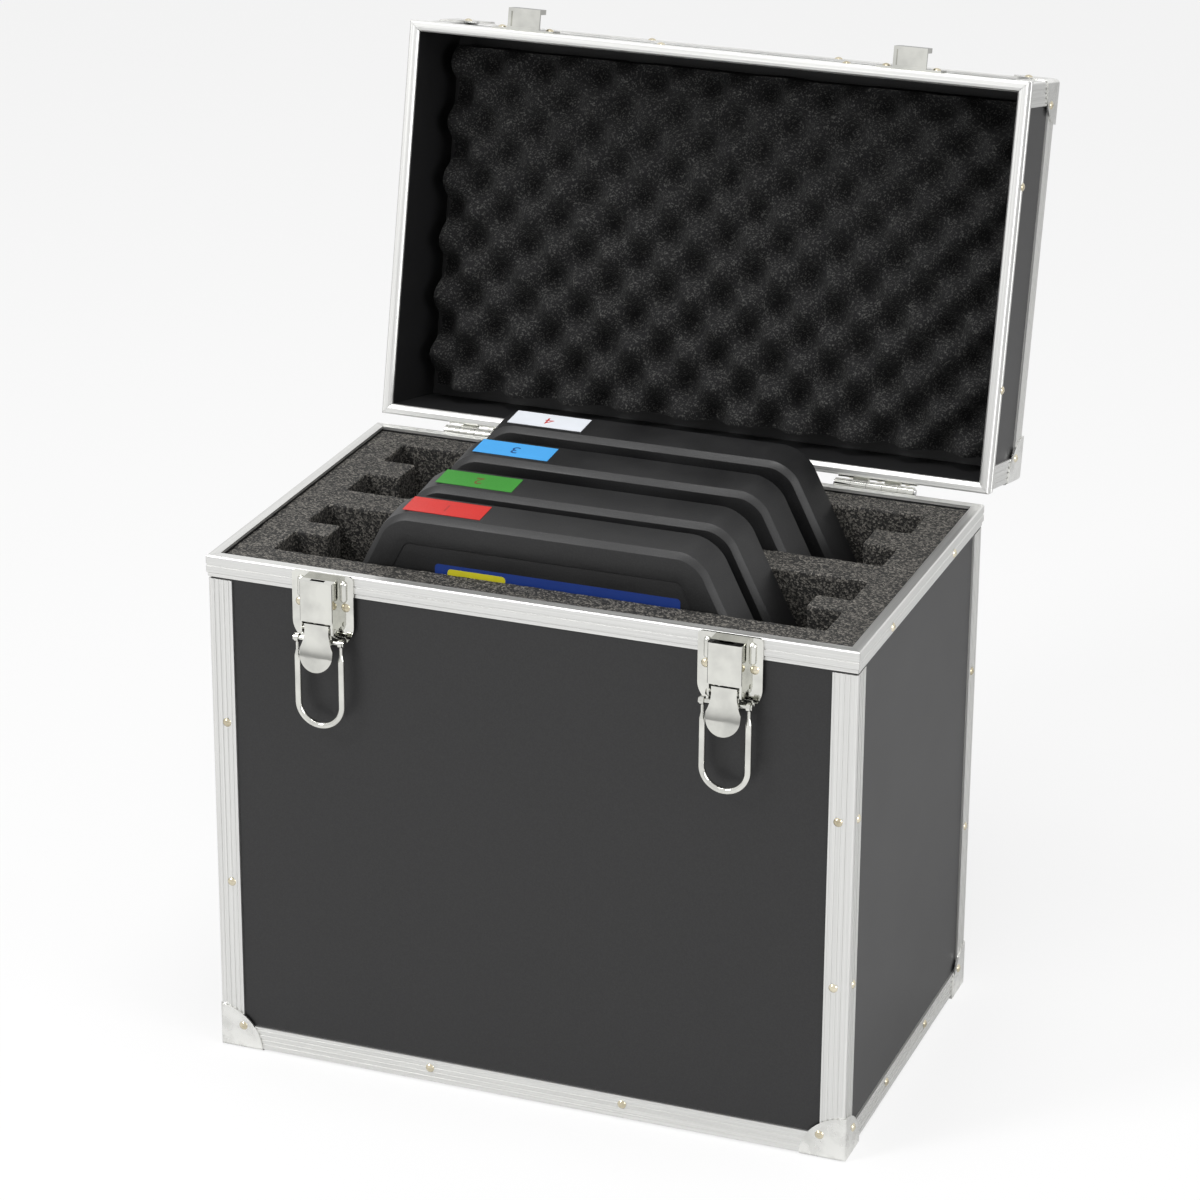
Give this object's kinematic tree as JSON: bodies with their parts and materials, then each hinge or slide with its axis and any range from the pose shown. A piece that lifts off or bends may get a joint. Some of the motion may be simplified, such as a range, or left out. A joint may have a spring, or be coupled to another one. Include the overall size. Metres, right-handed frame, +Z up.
{
  "type": "carrying case with scale pads",
  "caption": "Black laminate carrying case with aluminium edging, open hinged lid, draw latches and lift handle, holding flat scale pads on edge in a foam insert.",
  "frame": {"origin": "centre of the case's footprint, on the plane of the four foot caps", "axes": "+Z up, -Y towards the front with the latches, +X to the right"},
  "size_m": [0.4586, 0.4509, 0.6614],
  "materials": {
    "laminate": "black laminate on plywood, fine satin grain",
    "aluminium_edging": "extruded, satin anodised",
    "chrome_hardware": "bright plated steel",
    "steel_pin": "bright drawn",
    "nickel_rivet": "warm nickel plated, polished",
    "insert_foam": "charcoal closed-cell foam, cut faces speckled with open cells",
    "egg_crate_foam": "black convoluted foam, matte",
    "grip_plastic": "moulded, semi-gloss",
    "pad_coating": "fine-textured black coating",
    "pad_base_plastic": "moulded back cover",
    "cell_aluminium": "machined",
    "foot_rubber": "moulded",
    "red_label": "printed vinyl sticker",
    "green_label": "printed vinyl sticker",
    "blue_label": "printed vinyl sticker",
    "white_label": "printed vinyl sticker"
  },
  "bodies": {
    "case_body": {"base_panel": "laminate", "front_panel": "laminate", "rear_panel": "laminate", "left_panel": "laminate", "right_panel": "laminate", "corner_posts": "aluminium_edging", "base_rails": "aluminium_edging", "body_rims": "aluminium_edging", "foot_caps": "chrome_hardware", "body_rivets": "nickel_rivet", "latch_plate_left": "chrome_hardware", "latch_plate_right": "chrome_hardware", "hinge_leaves_body": "chrome_hardware", "hinge_pins": "steel_pin", "foam_floor": "insert_foam", "foam_front_wall": "insert_foam", "foam_divider": "insert_foam", "foam_rear_wall": "insert_foam", "foam_ends": "insert_foam"},
    "lid": {"lid_top_panel": "laminate", "lid_front_wall": "laminate", "lid_rear_wall": "laminate", "lid_left_wall": "laminate", "lid_right_wall": "laminate", "lid_rims": "aluminium_edging", "lid_edge_rails": "aluminium_edging", "lid_posts": "aluminium_edging", "lid_caps": "chrome_hardware", "lid_rivets": "nickel_rivet", "strikes": "chrome_hardware", "hinge_leaves_lid": "chrome_hardware", "lid_foam": "egg_crate_foam", "handle_brackets": "chrome_hardware"},
    "handle": {"handle_grip": "grip_plastic", "handle_bail": "chrome_hardware"},
    "lever_left": {"latch_lever_left": "chrome_hardware"},
    "lever_right": {"latch_lever_right": "chrome_hardware"},
    "loop_left": {"latch_bail_left": "chrome_hardware"},
    "loop_right": {"latch_bail_right": "chrome_hardware"},
    "pad_1": {"pad_1_deck": "pad_coating", "pad_1_base": "pad_base_plastic", "pad_1_cells": "cell_aluminium", "pad_1_feet": "foot_rubber", "pad_1_label": "red_label"},
    "pad_2": {"pad_2_deck": "pad_coating", "pad_2_base": "pad_base_plastic", "pad_2_cells": "cell_aluminium", "pad_2_feet": "foot_rubber", "pad_2_label": "green_label"},
    "pad_3": {"pad_3_deck": "pad_coating", "pad_3_base": "pad_base_plastic", "pad_3_cells": "cell_aluminium", "pad_3_feet": "foot_rubber", "pad_3_label": "blue_label"},
    "pad_4": {"pad_4_deck": "pad_coating", "pad_4_base": "pad_base_plastic", "pad_4_cells": "cell_aluminium", "pad_4_feet": "foot_rubber", "pad_4_label": "white_label"}
  },
  "joints": [
    {"name": "lid_hinge", "type": "hinge", "parent": "case_body", "child": "lid", "pos_m": [0, 0.147, 0.3652], "axis": [-1, 0, 0], "range_deg": [-102.3, 0]},
    {"name": "handle_pivot", "type": "hinge", "parent": "lid", "child": "handle", "pos_m": [0, 0.27207, 0.50271], "axis": [1, 0, 0], "range_deg": [-11.8, 160]},
    {"name": "latch_lever_left", "type": "hinge", "parent": "case_body", "child": "lever_left", "pos_m": [-0.142, -0.15, 0.329], "axis": [-1, 0, 0], "range_deg": [0, 96]},
    {"name": "latch_loop_left", "type": "hinge", "parent": "lever_left", "child": "loop_left", "pos_m": [-0.142, -0.15, 0.321], "axis": [1, 0, 0], "range_deg": [-180, 0]},
    {"name": "latch_lever_right", "type": "hinge", "parent": "case_body", "child": "lever_right", "pos_m": [0.142, -0.15, 0.329], "axis": [-1, 0, 0], "range_deg": [0, 96]},
    {"name": "latch_loop_right", "type": "hinge", "parent": "lever_right", "child": "loop_right", "pos_m": [0.142, -0.15, 0.321], "axis": [1, 0, 0], "range_deg": [-180, 0]},
    {"name": "pad_1_lift", "type": "slide", "parent": "case_body", "child": "pad_1", "axis": [0, 0, 1], "range_m": [0, 0.4]},
    {"name": "pad_2_lift", "type": "slide", "parent": "case_body", "child": "pad_2", "axis": [0, 0, 1], "range_m": [0, 0.4]},
    {"name": "pad_3_lift", "type": "slide", "parent": "case_body", "child": "pad_3", "axis": [0, 0, 1], "range_m": [0, 0.4]},
    {"name": "pad_4_lift", "type": "slide", "parent": "case_body", "child": "pad_4", "axis": [0, 0, 1], "range_m": [0, 0.4]}
  ]
}
